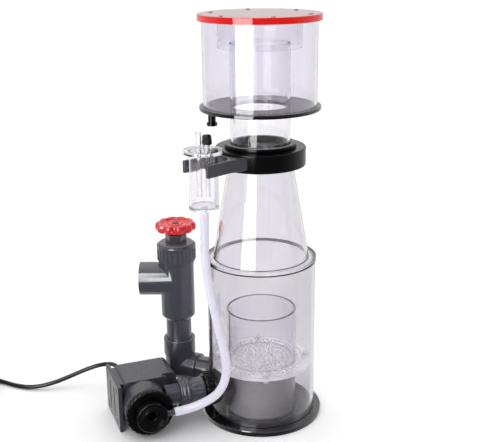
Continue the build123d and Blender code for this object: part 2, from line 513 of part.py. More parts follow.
with BuildPart() as volute:
    turned(PUMP_TURN, [(23.4, HOUSING_FRONT + 4.2), (BARREL_R, HOUSING_FRONT + 4.2), (BARREL_R, VOLUTE_FRONT - 5),
                       (BARREL_R - 2, VOLUTE_FRONT), (21.0, VOLUTE_FRONT), (21.0, VOLUTE_FRONT - 3),
                       (23.4, VOLUTE_FRONT - 3)])
    ring(inlet_line.offset(UNION_END), 13.6, 0, PUMP_REACH - UNION_END - 25)
    ring(pump_face.offset(VOLUTE_FRONT), BARREL_R + 3, 0, 10, mode=Mode.SUBTRACT)
    ring(pump_face.offset(-30), BARREL_R + 3, 0, HOUSING_FRONT + 4.2 + 30, mode=Mode.SUBTRACT)
    ring(pump_face.offset(HOUSING_FRONT + 4.2), 23.4, 0, VOLUTE_FRONT - 3 - HOUSING_FRONT - 4.2, mode=Mode.SUBTRACT)
    ring(inlet_line.offset(UNION_END - 1), 9.5, 0, PUMP_REACH - UNION_END, mode=Mode.SUBTRACT)
keep(volute, "volute")

with BuildPart() as volute_o_ring:
    with BuildSketch(PUMP_TURN) as o_ring_section:
        with Locations((22.4, HOUSING_FRONT + 5.8)):
            Circle(0.98)
    revolve(o_ring_section.sketch, axis=Axis(pump_origin, front))
keep(volute_o_ring, "volute_o_ring")

with BuildPart() as volute_lock_ring:
    ribbed(pump_face.offset(VOLUTE_FRONT + 0.3), RING_R, 24, RIB_R, 20.7, RING_FRONT - VOLUTE_FRONT - 1.8)
    ring(pump_face.offset(RING_FRONT - 1.5), RING_R - 1.2, 20.7, 1.5)
keep(volute_lock_ring, "volute_lock_ring")

THROAT_R, INTAKE_R, BARB_TURN_Z = 6.0, 20.3, 27.4
barb_line = facing(pump_origin + front * BARB_TURN_Z, inward)
with BuildPart() as intake_cover:
    turned(PUMP_TURN, [(THROAT_R, VOLUTE_FRONT - 3), (20.9, VOLUTE_FRONT - 3), (20.9, VOLUTE_FRONT),
                       (INTAKE_R, VOLUTE_FRONT), (INTAKE_R, INTAKE_FRONT - 1.2), (INTAKE_R - 1.2, INTAKE_FRONT),
                       (15.0, INTAKE_FRONT), (13.5, INTAKE_FRONT - 3.5), (THROAT_R + 1.5, INTAKE_FRONT - 6),
                       (THROAT_R, INTAKE_FRONT - 8)])
    ring(barb_line.offset(8), 2.0, 0, 20, mode=Mode.SUBTRACT)
keep(intake_cover, "intake_cover")

BARB_END = 30.0
with BuildPart() as air_barb:
    ring(barb_line.offset(INTAKE_R), 3.8, 2.0, 2.1)
    ring(barb_line.offset(INTAKE_R + 2.1), 3.6, 2.0, BARB_END - INTAKE_R - 2.1)
keep(air_barb, "air_barb")

SHAFT_R, RUNNING = 1.5, 0.06
with BuildPart() as rear_bushing:
    ring(pump_face.offset(-67), 4.0, SHAFT_R, 6)
keep(rear_bushing, "rear_bushing")

with BuildPart() as pump_shaft:
    ring(pump_face.offset(-67), SHAFT_R, 0, 69)
keep(pump_shaft, "pump_shaft")

with BuildPart() as rotor_magnet:
    ring(pump_face.offset(-60), ROTOR_R, SHAFT_R + RUNNING, 36)
    ring(pump_face.offset(-24), 4.5, SHAFT_R + RUNNING, 12)
keep(rotor_magnet, "rotor_magnet")

NEEDLE_R, WHEEL_DISC_R = 0.9, 20.0
with BuildPart() as needle_wheel:
    ring(pump_face.offset(-12), 5.5, SHAFT_R + RUNNING, 15)
    ring(pump_face.offset(-4), WHEEL_DISC_R, SHAFT_R + RUNNING, 2)
    for circle_r, count in ((18.5, 24), (14.5, 18), (10.5, 12)):
        with BuildSketch(pump_face.offset(-9)) as needles:
            with PolarLocations(circle_r, count):
                Circle(NEEDLE_R)
        extrude(needles.sketch, amount=15)
keep(needle_wheel, "needle_wheel")

# ---------------------------------------------------------------- cord, hose and what is on them
def bend_radii(points):
    """The largest arc that each corner's two runs allow."""
    corners = [Vector(*p) for p in points]
    radii = []
    for before, here, after in zip(corners, corners[1:], corners[2:]):
        half_turn = radians((here - before).get_angle(after - here) / 2)
        shorter = min((here - before).length, (after - here).length)
        radii.append(0.45 * shorter / tan(half_turn))
    return radii


def cord_tube(name, points, radius):
    """A round cord along straight runs joined by tangent arcs."""
    radii = bend_radii(points)
    with BuildLine() as route:
        FilletPolyline(*points, radius=radii)
    path = route.wire()
    with BuildSketch(Plane(origin=path @ 0, z_dir=path % 0)) as section:
        Circle(radius)
    swept = sweep(section.sketch, path=path)
    print(name, "length", round(path.length, 1), "smallest radii", [round(r) for r in sorted(radii)[:4]],
          "volume over section x length", round(swept.volume / (section.sketch.area * path.length), 4))


HOSE_POINTS = [(-111.0, -73.1, 33.0), (-97.0, -68.6, 33.6), (-80.0, -67.5, 40.0), (-65.0, -71.5, 50.0),
               (-53.5, -77.0, 63.0), (-46.0, -81.0, 79.5), (-43.0, -83.0, 99.0), (-45.5, -82.5, 121.0),
               (-51.0, -81.0, 147.0), (-57.0, -79.0, 173.5), (-62.5, -76.5, 201.0), (-66.5, -73.8, 229.0),
               (-68.0, -71.3, 255.0), (-67.3, -70.0, 278.0), (-67.0, -70.0, 300.0)]
with BuildPart() as air_hose:
    cord_tube("air_hose", HOSE_POINTS, HOSE_R)
keep(air_hose, "air_hose")

GLAND_X, GLAND_Y, GLAND_LENGTH = -12.0, 6.0, 22.0
rear_face = Plane(origin=pump_face.from_local_coords((GLAND_X, GLAND_Y, REAR)), x_dir=inward * -1, z_dir=front * -1)
GLAND_TURN = turning(rear_face.origin, front * -1, inward)
with BuildPart() as cable_gland:
    turned(GLAND_TURN, [(0, 0), (6.5, 0), (6.5, 3), (5.2, 4), (4.0, GLAND_LENGTH), (0, GLAND_LENGTH)])
keep(cable_gland, "cable_gland")

COIL_X, COIL_Y, COIL_MID, COIL_HALF, COIL_H = -418.5, 44.0, 31.5, 9.3, 18.6
LEAD_POINTS = [(-195.9, 28.1, 39.0), (-202.1, 43.8, 38.8), (-213.0, 57.0, 36.0), (-230.0, 64.0, 31.0),
               (-251.0, 63.0, 24.0), (-274.0, 57.0, 15.5), (-299.0, 50.0, 8.0), (-325.0, 47.5, 3.6),
               (-351.0, 54.5, 3.0), (-377.0, 69.5, 3.0), (-406.0, 82.7, 3.0)]
TAIL_POINTS = [(-427.0, 4.1, 15.4), (-413.1, -1.5, 14.2), (-401.6, -11.1, 11.4), (-393.7, -23.8, 9.0),
               (-390.1, -38.4, 8.0)]
with BuildPart() as power_cord:
    cord_tube("power_cord lead", LEAD_POINTS, CORD_R)
    cord_tube("power_cord tail", TAIL_POINTS, CORD_R)
keep(power_cord, "power_cord")

with BuildPart() as cord_coil:
    coil_turn = turning((COIL_X, COIL_Y, 0), (0, 0, 1), (1, 0, 0))
    turned(coil_turn, [(COIL_MID - COIL_HALF, 2), (COIL_MID - COIL_HALF + 2, 0), (COIL_MID + COIL_HALF - 2, 0),
                       (COIL_MID + COIL_HALF, 2), (COIL_MID + COIL_HALF, COIL_H - 2),
                       (COIL_MID + COIL_HALF - 2, COIL_H), (COIL_MID - COIL_HALF + 2, COIL_H),
                       (COIL_MID - COIL_HALF, COIL_H - 2)])
keep(cord_coil, "cord_coil")

PLUG_TAPER, PLUG_BODY, PIN_LENGTH, PIN_GAP, PIN_R = 22.0, 35.0, 19.0, 19.0, 2.0
plug_way = Vector(2.5, -14.8, 0).normalized()
plug_plane = facing(Vector(*TAIL_POINTS[-1]), plug_way)
with BuildPart() as power_plug:
    turned(turning(plug_plane.origin, plug_way, plug_plane.x_dir), [(0, 0), (3.8, 0), (6.0, PLUG_TAPER),
                                                                      (0, PLUG_TAPER)])
    for start, half, thick, length in ((PLUG_TAPER, 9.0, 6.0, 10), (PLUG_TAPER + 10, 13.0, 7.0, PLUG_BODY - 10)):
        block(plug_plane.offset(start), -half, half, -thick, thick, length, corner=5)
    for side in (-PIN_GAP / 2, PIN_GAP / 2):
        with BuildSketch(plug_plane.offset(PLUG_TAPER + PLUG_BODY)) as pin_section:
            with Locations((side, 0)):
                Circle(PIN_R)
        extrude(pin_section.sketch, amount=PIN_LENGTH)
keep(power_plug, "power_plug")
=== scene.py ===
"""The looks of a protein skimmer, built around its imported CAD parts. Lengths are in metres and +Z is up."""
import json
from math import cos, pi, radians, sin

import bmesh
import bpy
from mathutils import Matrix, Vector


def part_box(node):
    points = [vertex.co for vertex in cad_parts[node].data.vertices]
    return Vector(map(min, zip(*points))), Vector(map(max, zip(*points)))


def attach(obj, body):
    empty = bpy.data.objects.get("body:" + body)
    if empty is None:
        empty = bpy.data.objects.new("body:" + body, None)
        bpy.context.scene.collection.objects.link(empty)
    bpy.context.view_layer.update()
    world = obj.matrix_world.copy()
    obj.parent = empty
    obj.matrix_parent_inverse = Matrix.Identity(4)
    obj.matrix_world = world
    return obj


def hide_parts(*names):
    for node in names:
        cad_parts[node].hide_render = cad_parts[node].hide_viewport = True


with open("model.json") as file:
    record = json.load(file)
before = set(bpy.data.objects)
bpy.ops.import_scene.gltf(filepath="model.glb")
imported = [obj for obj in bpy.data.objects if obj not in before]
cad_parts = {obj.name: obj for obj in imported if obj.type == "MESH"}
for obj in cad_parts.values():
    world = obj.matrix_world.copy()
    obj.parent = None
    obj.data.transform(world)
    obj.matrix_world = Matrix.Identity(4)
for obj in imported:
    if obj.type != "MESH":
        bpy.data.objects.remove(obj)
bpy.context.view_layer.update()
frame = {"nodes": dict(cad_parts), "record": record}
nodes = frame["nodes"]
MM = 0.001
UP = Vector((0, 0, 1))
behaviour = frame["record"]["behaviour"]


# ---------------------------------------------------------------- places, read from the frame
def axis_at(node):
    """The place on the floor under the upright axis of a CAD node."""
    low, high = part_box(node)
    return Matrix.Translation(((low.x + high.x) / 2, (low.y + high.y) / 2, 0))


def lying(origin, along, side):
    """A place whose local z runs along one direction and whose local x points to the side."""
    z_way = Vector(along).normalized()
    x_way = Vector(side).normalized()
    y_way = z_way.cross(x_way)
    return Matrix.Translation(origin) @ Matrix((x_way, y_way, z_way)).transposed().to_4x4()


PUMP_TURN = radians(21.5)                       # the pump is turned this much from the X axis
PUMP_REACH, PUMP_HEIGHT = 160 * MM, 33 * MM
INWARD = Vector((cos(PUMP_TURN), sin(PUMP_TURN), 0))
FRONT = Vector((sin(PUMP_TURN), -cos(PUMP_TURN), 0))
PUMP_ORIGIN = INWARD * -PUMP_REACH + UP * PUMP_HEIGHT


# ---------------------------------------------------------------- camera, light and floor
CAMERA_SPOT = (0, -1.0727, 0.6036)
CAMERA_PITCH, CAMERA_YAW, CAMERA_ROLL = radians(17.53), radians(-0.734), radians(-0.51)
SENSOR, LENS = 36.0, 63.59


def make_camera():
    """The camera, which looks a little down on the object from the front."""
    lens = bpy.data.cameras.new("camera")
    lens.sensor_width = SENSOR
    lens.lens = LENS
    camera = bpy.data.objects.new("camera", lens)
    bpy.context.scene.collection.objects.link(camera)
    pitch, yaw, roll = CAMERA_PITCH, CAMERA_YAW, CAMERA_ROLL
    forward = Vector((sin(yaw) * cos(pitch), cos(yaw) * cos(pitch), -sin(pitch)))
    right = Vector((cos(yaw), -sin(yaw), 0))
    up = right.cross(forward)
    right, up = right * cos(roll) + up * sin(roll), up * cos(roll) - right * sin(roll)
    facing = Matrix((right, up, -forward)).transposed().to_4x4()
    camera.matrix_world = Matrix.Translation(CAMERA_SPOT) @ facing
    bpy.context.scene.camera = camera


def softbox(name, spot, target, width, height, power):
    """A tall soft light that faces a point, left out of what the camera sees directly."""
    light = bpy.data.lights.new(name, "AREA")
    light.shape = "RECTANGLE"
    light.size, light.size_y = width, height
    light.energy = power
    holder = bpy.data.objects.new(name, light)
    holder.location = spot
    holder.rotation_euler = (Vector(target) - Vector(spot)).to_track_quat("-Z", "Y").to_euler()
    holder.visible_camera = False
    holder.visible_transmission = False
    bpy.context.scene.collection.objects.link(holder)
    return holder


# the sky's strength, from the front to the back and from the horizon to straight above
SKY = (("Y", (-0.75, 0.45), (0.14, 0.86)), ("Z", (0.25, 1.0), (0.0, 0.85)))
# the soft lights: where each is, what it faces, how wide and tall it is, and its power
KEY_LIGHT = ((-0.86, -1.46, 1.2), (0, 0, 1.0), 1.0, 2.3, 9)
KEY_SHEEN = ((-0.82, -1.40, 1.2), (0, 0, 1.2), 1.03, 2.4, 68)
KEY_ECHO = ((-0.80, -1.38, 1.2), (0, 0, 1.2), 1.03, 2.4, 18)
FLOOR_RADIUS = 16.0


def make_sky():
    """A sky that is white at the back and grey at the front, and plain white to the camera itself."""
    world = bpy.data.worlds.new("studio")
    world.use_nodes = True
    bpy.context.scene.world = world
    tree = world.node_tree
    where = tree.nodes.new("ShaderNodeTexCoord")
    parts = tree.nodes.new("ShaderNodeSeparateXYZ")
    tree.links.new(where.outputs["Generated"], parts.inputs[0])
    light = tree.nodes.new("ShaderNodeMath")
    for place, (axis, take, give) in enumerate(SKY):
        tree.links.new(ranged(tree, parts.outputs[axis], take, give, "SMOOTHSTEP"), light.inputs[place])
    rays = tree.nodes.new("ShaderNodeLightPath")
    seen = tree.nodes.new("ShaderNodeMix")
    seen.inputs[3].default_value = 1.0
    tree.links.new(rays.outputs["Is Camera Ray"], seen.inputs[0])
    tree.links.new(light.outputs[0], seen.inputs[2])
    background = tree.nodes["Background"]
    background.inputs["Color"].default_value = (1.0, 1.0, 1.0, 1)
    tree.links.new(seen.outputs[0], background.inputs["Strength"])


def make_studio():
    """A pale floor under the sky, with one soft light that is split by what it may light."""
    bpy.context.scene.view_settings.view_transform = "Standard"
    make_sky()
    softbox("key_light", *KEY_LIGHT)
    sheen = softbox("key_sheen", *KEY_SHEEN)
    sheen.visible_diffuse = False
    echo = softbox("key_echo", *KEY_ECHO)
    echo.visible_diffuse = echo.visible_glossy = False
    echo.visible_transmission = True

    bpy.ops.mesh.primitive_circle_add(vertices=96, radius=FLOOR_RADIUS, fill_type="NGON")
    floor = bpy.context.object
    floor.name = "floor"
    paint = material("floor_paint", (0.985, 0.985, 0.99), 0.6)
    grain(paint, 40.0, (0.55, 0.7), 0.02)
    floor.data.materials.append(paint)
    floor.visible_glossy = False


# ---------------------------------------------------------------- materials
NOISE_LOW, NOISE_HIGH = 0.3, 0.7                 # nearly all of a noise texture's values lie between these
BUMP_DEPTH = 0.0002
ACRYLIC_IOR, SHADOW_TINT = 1.49, (0.93, 0.93, 0.94)
HAZE_SCALE, HAZE, SAWN_HAZE = 60.0, 0.03, 0.32
LEVEL_CUT, UPRIGHT_CUT = (0.9, 0.98), (0.3, 0.1)  # a face's tilt, from not sawn to sawn
SAWN_TINT = (0.50, 0.45, 0.46)


def ranged(tree, value, take=(0.0, 1.0), give=(0.0, 1.0), how="LINEAR"):
    """A socket's value, carried from one range to another."""
    node = tree.nodes.new("ShaderNodeMapRange")
    node.interpolation_type = how
    for socket, limit in zip(("From Min", "From Max", "To Min", "To Max"), (*take, *give)):
        node.inputs[socket].default_value = limit
    tree.links.new(value, node.inputs["Value"])
    return node.outputs[0]


def blended(tree, share, first, second):
    """A colour between a first one, which may be a socket, and a second."""
    node = tree.nodes.new("ShaderNodeMix")
    node.data_type = "RGBA"
    if isinstance(first, bpy.types.NodeSocket):
        tree.links.new(first, node.inputs[6])
    else:
        node.inputs[6].default_value = (*first, 1)
    node.inputs[7].default_value = (*second, 1)
    tree.links.new(share, node.inputs[0])
    return node.outputs[2]


def noise_in(tree, scale, detail=2.0):
    """A noise texture that is fixed to the object."""
    where = tree.nodes.new("ShaderNodeTexCoord")
    noise = tree.nodes.new("ShaderNodeTexNoise")
    noise.inputs["Scale"].default_value = scale
    noise.inputs["Detail"].default_value = detail
    tree.links.new(where.outputs["Object"], noise.inputs["Vector"])
    return noise.outputs[0]


def glance_in(tree, blend):
    """How nearly edge on a face is seen."""
    glance = tree.nodes.new("ShaderNodeLayerWeight")
    glance.inputs["Blend"].default_value = blend
    return glance.outputs["Facing"]


def relief_in(tree, shader, height, strength, depth):
    """A bump on a shader, as high as a socket says."""
    relief = tree.nodes.new("ShaderNodeBump")
    relief.inputs["Strength"].default_value = strength
    relief.inputs["Distance"].default_value = depth
    tree.links.new(height, relief.inputs["Height"])
    tree.links.new(relief.outputs[0], shader.inputs["Normal"])


def material(name, colour, roughness, **sockets):
    """A plain material, with other sockets of its shader set by name."""
    made = bpy.data.materials.new(name)
    made.use_nodes = True
    shader = made.node_tree.nodes["Principled BSDF"]
    shader.inputs["Base Color"].default_value = (*colour, 1)
    shader.inputs["Roughness"].default_value = roughness
    for socket, value in sockets.items():
        shader.inputs[socket.replace("_", " ")].default_value = value
    return made


def grain(made, scale, rough, bump=0.0, tone=0.0):
    """Fine noise over a material's roughness and bump, and over its colour's tone where asked."""
    tree = made.node_tree
    shader = tree.nodes["Principled BSDF"]
    noise = noise_in(tree, scale, 4.0)
    tree.links.new(ranged(tree, noise, (NOISE_LOW, NOISE_HIGH), rough), shader.inputs["Roughness"])
    if bump:
        relief_in(tree, shader, noise, bump, BUMP_DEPTH)
    if tone:
        colour = Vector(shader.inputs["Base Color"].default_value[:3])
        shade = blended(tree, noise, colour * (1 - tone), colour * (1 + tone))
        tree.links.new(shade, shader.inputs["Base Color"])
    return made


def acrylic(name, tint, edge, cut_faces=None, cut_tint=SAWN_TINT, clear=1.0):
    """Clear cast acrylic: its colour is darkened by a painted shade where it is seen edge on, hazy on its
    sawn faces, open to lamps.
    cut_faces says how far the sawn faces tilt: LEVEL_CUT on a tube, UPRIGHT_CUT on a plate, or none."""
    made = material(name, tint, 0.0, Transmission_Weight=clear, IOR=ACRYLIC_IOR)
    tree = made.node_tree
    shader = tree.nodes["Principled BSDF"]
    # painted shade: the colour runs to the darker edge colour where the face is seen edge on, in place of the
    # dark edges that refraction gives
    colour = blended(tree, glance_in(tree, 0.25), tint, edge)
    rough = ranged(tree, noise_in(tree, HAZE_SCALE), give=(0.0, HAZE))
    if cut_faces:
        surface = tree.nodes.new("ShaderNodeNewGeometry")
        parts = tree.nodes.new("ShaderNodeSeparateXYZ")
        tilt = tree.nodes.new("ShaderNodeMath")
        tilt.operation = "ABSOLUTE"
        tree.links.new(surface.outputs["Normal"], parts.inputs[0])
        tree.links.new(parts.outputs["Z"], tilt.inputs[0])
        colour = blended(tree, ranged(tree, tilt.outputs[0], cut_faces), colour, cut_tint)
        total = tree.nodes.new("ShaderNodeMath")
        tree.links.new(ranged(tree, tilt.outputs[0], cut_faces, (0.0, SAWN_HAZE)), total.inputs[0])
        tree.links.new(rough, total.inputs[1])
        rough = total.outputs[0]
    tree.links.new(colour, shader.inputs["Base Color"])
    tree.links.new(rough, shader.inputs["Roughness"])
    rays = tree.nodes.new("ShaderNodeLightPath")
    open_to_lamps = tree.nodes.new("ShaderNodeBsdfTransparent")
    open_to_lamps.inputs["Color"].default_value = (*SHADOW_TINT, 1)
    either = tree.nodes.new("ShaderNodeMixShader")
    tree.links.new(rays.outputs["Is Shadow Ray"], either.inputs[0])
    tree.links.new(shader.outputs[0], either.inputs[1])
    tree.links.new(open_to_lamps.outputs[0], either.inputs[2])
    tree.links.new(either.outputs[0], tree.nodes["Material Output"].inputs["Surface"])
    return made


def grazing_shaded(made, colour):
    """A glossy colour that gives way to a painted darker one, a painted shade, where it is seen almost edge
    on.
    """
    tree = made.node_tree
    shader = tree.nodes["Principled BSDF"]
    share = ranged(tree, glance_in(tree, 0.5), (0.7, 0.92))
    own = shader.inputs["Base Color"].default_value[:3]
    tree.links.new(blended(tree, share, own, colour), shader.inputs["Base Color"])
    return made


# the edge colours are painted shade, for the acrylic seen edge on
CLEAR_TINT, CLEAR_EDGE_SHADE = (0.82, 0.805, 0.83), (0.44, 0.43, 0.47)
LIGHT_TINT, LIGHT_EDGE_SHADE = (0.97, 0.96, 0.98), (0.72, 0.71, 0.77)
tube_acrylic = acrylic("acrylic_tube", CLEAR_TINT, CLEAR_EDGE_SHADE, LEVEL_CUT)
light_tube_acrylic = acrylic("acrylic_light_tube", LIGHT_TINT, LIGHT_EDGE_SHADE, LEVEL_CUT, (0.34, 0.28, 0.28))
mixing_acrylic = acrylic("acrylic_mixing_tube", LIGHT_TINT, LIGHT_EDGE_SHADE, LEVEL_CUT, (0.86, 0.80, 0.80))
# painted highlight: the plate's milky white share and white sawn hole walls stand in for the glints on its
# hole edges; the haze of the sawn walls is the plate's own
plate_acrylic = acrylic("acrylic_plate", (0.99, 0.985, 0.99), (0.9, 0.9, 0.92), UPRIGHT_CUT, (1, 1, 1), 0.68)
cup_acrylic = acrylic("acrylic_cup", (0.92, 0.905, 0.95), (0.58, 0.57, 0.63), LEVEL_CUT)
cone_acrylic = acrylic("acrylic_cone", (0.885, 0.87, 0.905), (0.58, 0.57, 0.60))
clear_acrylic = acrylic("acrylic_clear", LIGHT_TINT, CLEAR_EDGE_SHADE)
frosted = grain(
    material("acrylic_frosted", (0.60, 0.585, 0.60), 0.1, Transmission_Weight=0.74), 60, (0.03, 0.14))
black_gloss = grain(
    material("black_acrylic_polished", (0.002, 0.002, 0.0025), 0.04, Specular_IOR_Level=0.7),
    35, (0.015, 0.05))
base_black = grain(
    material("black_acrylic_base", (0.006, 0.006, 0.007), 0.05, Specular_IOR_Level=1.0), 35, (0.03, 0.08))
collar_black = grain(
    material("black_pvc_turned", (0.003, 0.003, 0.0035), 0.1, Specular_IOR_Level=0.2),
    300, (0.05, 0.12), 0.03)
# painted shade: the lid's red is painted dark red where it is seen almost edge on
red_gloss = grazing_shaded(
    grain(material("red_acrylic", (0.80, 0.010, 0.008), 0.04), 40, (0.02, 0.06), 0.01), (0.28, 0.06, 0.06))
red_moulded = grain(
    material("red_moulded", (0.74, 0.016, 0.020), 0.2, Coat_Weight=0.4), 120, (0.14, 0.3), 0.08)
pvc = grain(
    material("pvc_dark_grey", (0.060, 0.060, 0.078), 0.15, Specular_IOR_Level=0.8),
    900, (0.11, 0.19), 0.02, 0.05)
bonnet_pvc = grain(material("pvc_light_grey", (0.165, 0.15, 0.16), 0.15), 900, (0.08, 0.18), 0.02, 0.05)
black_moulded = grain(
    material("black_moulded", (0.003, 0.003, 0.003), 0.25, Specular_IOR_Level=0.18), 260, (0.18, 0.32), 0.1)
pump_plastic = grain(material("pump_grey_moulded", (0.058, 0.057, 0.072), 0.24), 900, (0.22, 0.36), 0.2, 0.06)
fork_plastic = grain(material("fork_grey_acrylic", (0.045, 0.046, 0.055), 0.2), 80, (0.14, 0.28), 0.03)
rubber = grain(material("rubber_black", (0.018, 0.018, 0.018), 0.6), 500, (0.5, 0.7), 0.2)
jacket = grain(
    material("cord_jacket_black", (0.006, 0.006, 0.007), 0.3, Specular_IOR_Level=0.3),
    400, (0.22, 0.36), 0.08)
silicone = grain(
    material("silicone_milky", (0.82, 0.82, 0.97), 0.3, IOR=1.42, Subsurface_Weight=0.55,
             Subsurface_Scale=0.006), 90, (0.24, 0.36), 0.04, 0.015)
nylon = grain(material("nylon_screw", (0.62, 0.58, 0.58), 0.4), 300, (0.34, 0.5), 0.1, 0.05)
white_moulded = grain(material("white_moulded", (0.75, 0.75, 0.73), 0.35), 300, (0.3, 0.42), 0.1, 0.03)
ceramic = grain(material("ceramic_shaft", (0.80, 0.78, 0.72), 0.15), 500, (0.1, 0.2), 0.03, 0.03)
magnet_dark = grain(material("magnet_ferrite", (0.07, 0.07, 0.075), 0.45), 700, (0.4, 0.55), 0.2, 0.1)
nickel = grain(material("plug_pin_nickel", (0.62, 0.60, 0.56), 0.25, Metallic=1.0), 500, (0.18, 0.32), 0.05)

STEEL, COPPER = (0.45, 0.44, 0.42), (0.72, 0.30, 0.14)
STACK_MIDDLE, STACK_HALF = -45 * MM, 13.2 * MM   # the steel stack, along the motor
SHEET_SCALE, SHEET_STRENGTH, SHEET_DEPTH = 320.0, 0.6, 0.0004


def motor_material():
    """Stacked steel sheets between two copper windings, told apart by where they lie along the motor."""
    made = material("motor_sheets_and_copper", STEEL, 0.4, Metallic=1.0)
    tree = made.node_tree
    shader = tree.nodes["Principled BSDF"]
    where = tree.nodes.new("ShaderNodeTexCoord")
    along = tree.nodes.new("ShaderNodeVectorMath")
    along.operation = "DOT_PRODUCT"
    along.inputs[1].default_value = FRONT
    tree.links.new(where.outputs["Object"], along.inputs[0])
    core = tree.nodes.new("ShaderNodeMath")
    core.operation = "COMPARE"
    core.inputs[1].default_value = PUMP_ORIGIN.dot(FRONT) + STACK_MIDDLE
    core.inputs[2].default_value = STACK_HALF
    tree.links.new(along.outputs["Value"], core.inputs[0])
    tree.links.new(blended(tree, core.outputs[0], COPPER, STEEL), shader.inputs["Base Color"])
    row = tree.nodes.new("ShaderNodeCombineXYZ")
    tree.links.new(along.outputs["Value"], row.inputs[0])
    sheets = tree.nodes.new("ShaderNodeTexWave")
    sheets.inputs["Scale"].default_value = SHEET_SCALE
    tree.links.new(row.outputs[0], sheets.inputs["Vector"])
    relief_in(tree, shader, sheets.outputs["Fac"], SHEET_STRENGTH, SHEET_DEPTH)
    return made


FINISHES = {
    tube_acrylic: ["body_tube"],
    cup_acrylic: ["cup_tube"],
    light_tube_acrylic: ["riser_tube", "lid_baffle", "silencer_pipes", "silencer_tube"],
    mixing_acrylic: ["mixing_tube"],
    frosted: ["inlet_chamber"],
    plate_acrylic: ["bubble_plate"],
    cone_acrylic: ["body_cone"],
    clear_acrylic: ["shoulder_plate", "silencer_top", "silencer_bottom"],
    black_gloss: ["cup_base_plate"],
    base_black: ["base_plate"],
    collar_black: ["neck_collar", "cup_lock_ring", "drain_nozzle", "drain_plug"],
    fork_plastic: ["silencer_bracket"],
    red_gloss: ["lid_plate"],
    red_moulded: ["handwheel"],
    pvc: ["outlet_stub", "outlet_elbow", "riser_pipe", "valve_tee", "valve_union_nut", "valve_gate",
          "pump_coupler", "pump_union"],
    bonnet_pvc: ["valve_bonnet"],
    black_moulded: ["inlet_bulkhead", "inlet_pipe", "packing_nut", "bulkhead_nut", "volute_lock_ring",
                    "intake_cover", "air_cap", "valve_stem", "body_seam"],
    pump_plastic: ["pump_foot", "pump_housing", "volute", "air_barb"],
    rubber: ["outlet_gasket", "bulkhead_gasket", "cup_o_ring", "volute_o_ring"],
    jacket: ["cable_gland"],
    nylon: ["lid_screws", "plate_screws"],
    white_moulded: ["needle_wheel", "rear_bushing"],
    ceramic: ["pump_shaft"],
    magnet_dark: ["rotor_magnet"],
    motor_material(): ["motor_stator"],
}
for finish, group in FINISHES.items():
    for node in group:
        mesh = nodes[node].data
        mesh.materials.clear()
        mesh.materials.append(finish)


# ---------------------------------------------------------------- making pieces in the place of CAD nodes
body_of = {node: body for body, members in behaviour["bodies"].items() for node in members}


def stands_for(piece, *replaced):
    """The piece rides with the body of the first CAD node that it replaces, and the replaced CAD nodes are
    hidden.
    """
    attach(piece, body_of[replaced[0]])
    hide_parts(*replaced)
    return piece


WELD, SPECK = 1e-6, 1e-7
FLAT_ANGLE, BEVEL_ANGLE = radians(0.6), radians(35)
FLAT_WEIGHT = 90
CORNER_SHARE = 0.45                             # an arc takes at most this much of the side beside it
ON_AXIS = 0.01


def finished(name, shape, finish, place=Matrix()):
    """A smooth-shaded object from a bmesh, moved to its place, with its flat faces kept flat."""
    bmesh.ops.remove_doubles(shape, verts=shape.verts, dist=WELD)
    bmesh.ops.dissolve_degenerate(shape, edges=shape.edges, dist=SPECK)
    bmesh.ops.recalc_face_normals(shape, faces=shape.faces)
    mesh = bpy.data.meshes.new(name)
    shape.to_mesh(mesh)
    shape.free()
    mesh.transform(place)
    for face in mesh.polygons:
        face.use_smooth = True
    mesh.materials.append(finish)
    made = bpy.data.objects.new(name, mesh)
    bpy.context.scene.collection.objects.link(made)
    flats = made.modifiers.new("flats", "WEIGHTED_NORMAL")
    flats.weight = FLAT_WEIGHT
    return made


def rounded(outline, radius, cuts=3):
    """A closed outline with a small arc at each corner away from the axis."""
    points = []
    for place, here in enumerate(outline):
        corner = Vector(here)
        before = Vector(outline[place - 1]) - corner
        after = Vector(outline[(place + 1) % len(outline)]) - corner
        if corner.x < ON_AXIS:
            points.append(corner)
            continue
        reach = min(radius, CORNER_SHARE * before.length, CORNER_SHARE * after.length)
        start, end = corner + before.normalized() * reach, corner + after.normalized() * reach
        for cut in range(cuts + 1):
            share = cut / cuts
            points.append(start * (1 - share) ** 2 + corner * (2 * share * (1 - share)) + end * share ** 2)
    return points


def skin(shape, rows):
    """Faces between each closed row of vertices and the next."""
    for row, ahead in zip(rows, rows[1:]):
        for here in range(len(row)):
            after = (here + 1) % len(row)
            shape.faces.new((row[here], row[after], ahead[after], ahead[here]))


def turned(name, outline, place, finish, wave=None, steps=120, radius=0.5):
    """A turned piece from a closed outline of (radius, height, share of the wave) points, in millimetres.
    The wave moves the outline in or out as it goes round, as lobes, ribs or the flats of a nut."""
    profile = rounded([(point + (0,))[:3] for point in outline], radius)
    shape = bmesh.new()
    rows = []
    for step in range(steps):
        angle = 2 * pi * step / steps
        swell = wave(angle) if wave else 0.0
        row = []
        for point in profile:
            reach = (point.x + point.z * swell) * MM
            row.append(shape.verts.new((reach * cos(angle), reach * sin(angle), point.y * MM)))
        rows.append(row)
    skin(shape, rows + rows[:1])
    return finished(name, shape, finish, place)


def softened(node, width, finish, segments):
    """A copy of a CAD node's shape with its sharp edges rounded over."""
    shape = bmesh.new()
    shape.from_mesh(nodes[node].data)
    bmesh.ops.remove_doubles(shape, verts=shape.verts, dist=WELD)
    bmesh.ops.dissolve_limit(shape, angle_limit=FLAT_ANGLE, verts=shape.verts, edges=shape.edges)
    made = finished(node + "_rounded", shape, finish)
    bevel = made.modifiers.new("edges", "BEVEL")
    bevel.width = width * MM
    bevel.segments = segments
    bevel.limit_method = "ANGLE"
    bevel.angle_limit = BEVEL_ANGLE
    made.modifiers.move(1, 0)
    return stands_for(made, node)


